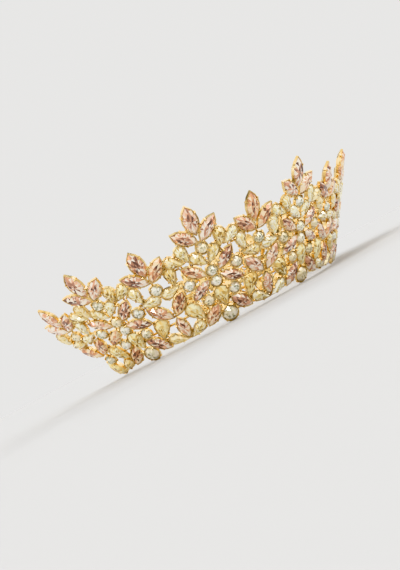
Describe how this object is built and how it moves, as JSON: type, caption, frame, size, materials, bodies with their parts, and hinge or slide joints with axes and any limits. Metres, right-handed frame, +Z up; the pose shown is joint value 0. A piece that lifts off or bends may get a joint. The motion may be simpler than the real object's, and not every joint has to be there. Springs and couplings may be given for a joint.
{
  "type": "crown",
  "caption": "Open flared bridal crown of marquise, pear and round crystals in gold cups, with short and tall leaf sprays in turn round the top.",
  "frame": {"origin": "under the middle of the crown's box, on the surface it stands on", "axes": "+Z up; -Y towards the crown's front spray and +Y towards its open back; +X to the right seen from the front, across the crown"},
  "size_m": [0.2072, 0.1523, 0.0514],
  "materials": {
    "gold": "bright gold plate on soldered brass cups and wire",
    "peach_crystal": "foil-backed peach cut glass, clear and glossy",
    "yellow_crystal": "foil-backed pale yellow cut glass, clear and glossy",
    "clear_crystal": "foil-backed clear cut glass, clear and glossy"
  },
  "bodies": {
    "root": {"frame": "gold", "end_drop_1": "yellow_crystal", "end_drop_15": "yellow_crystal", "foot_leaf_11": "peach_crystal", "foot_leaf_13": "peach_crystal", "foot_leaf_3": "peach_crystal", "foot_leaf_5": "peach_crystal", "foot_leaf_7": "peach_crystal", "foot_leaf_9": "peach_crystal", "heart_drop_10": "yellow_crystal", "heart_drop_12": "yellow_crystal", "heart_drop_14": "yellow_crystal", "heart_drop_2": "yellow_crystal", "heart_drop_4": "yellow_crystal", "heart_drop_6": "yellow_crystal", "heart_drop_8": "yellow_crystal", "rim_round_10": "clear_crystal", "rim_round_12": "clear_crystal", "rim_round_14": "clear_crystal", "rim_round_2": "clear_crystal", "rim_round_4": "clear_crystal", "rim_round_6": "clear_crystal", "rim_round_8": "clear_crystal", "short_leaf_1": "peach_crystal", "short_leaf_11": "peach_crystal", "short_leaf_13": "peach_crystal", "short_leaf_15": "peach_crystal", "short_leaf_3": "peach_crystal", "short_leaf_5": "peach_crystal", "short_leaf_7": "peach_crystal", "short_leaf_9": "peach_crystal", "tall_leaf_10": "peach_crystal", "tall_leaf_12": "peach_crystal", "tall_leaf_14": "peach_crystal", "tall_leaf_2": "peach_crystal", "tall_leaf_4": "peach_crystal", "tall_leaf_6": "peach_crystal", "tall_leaf_8": "peach_crystal"}
  },
  "joints": []
}
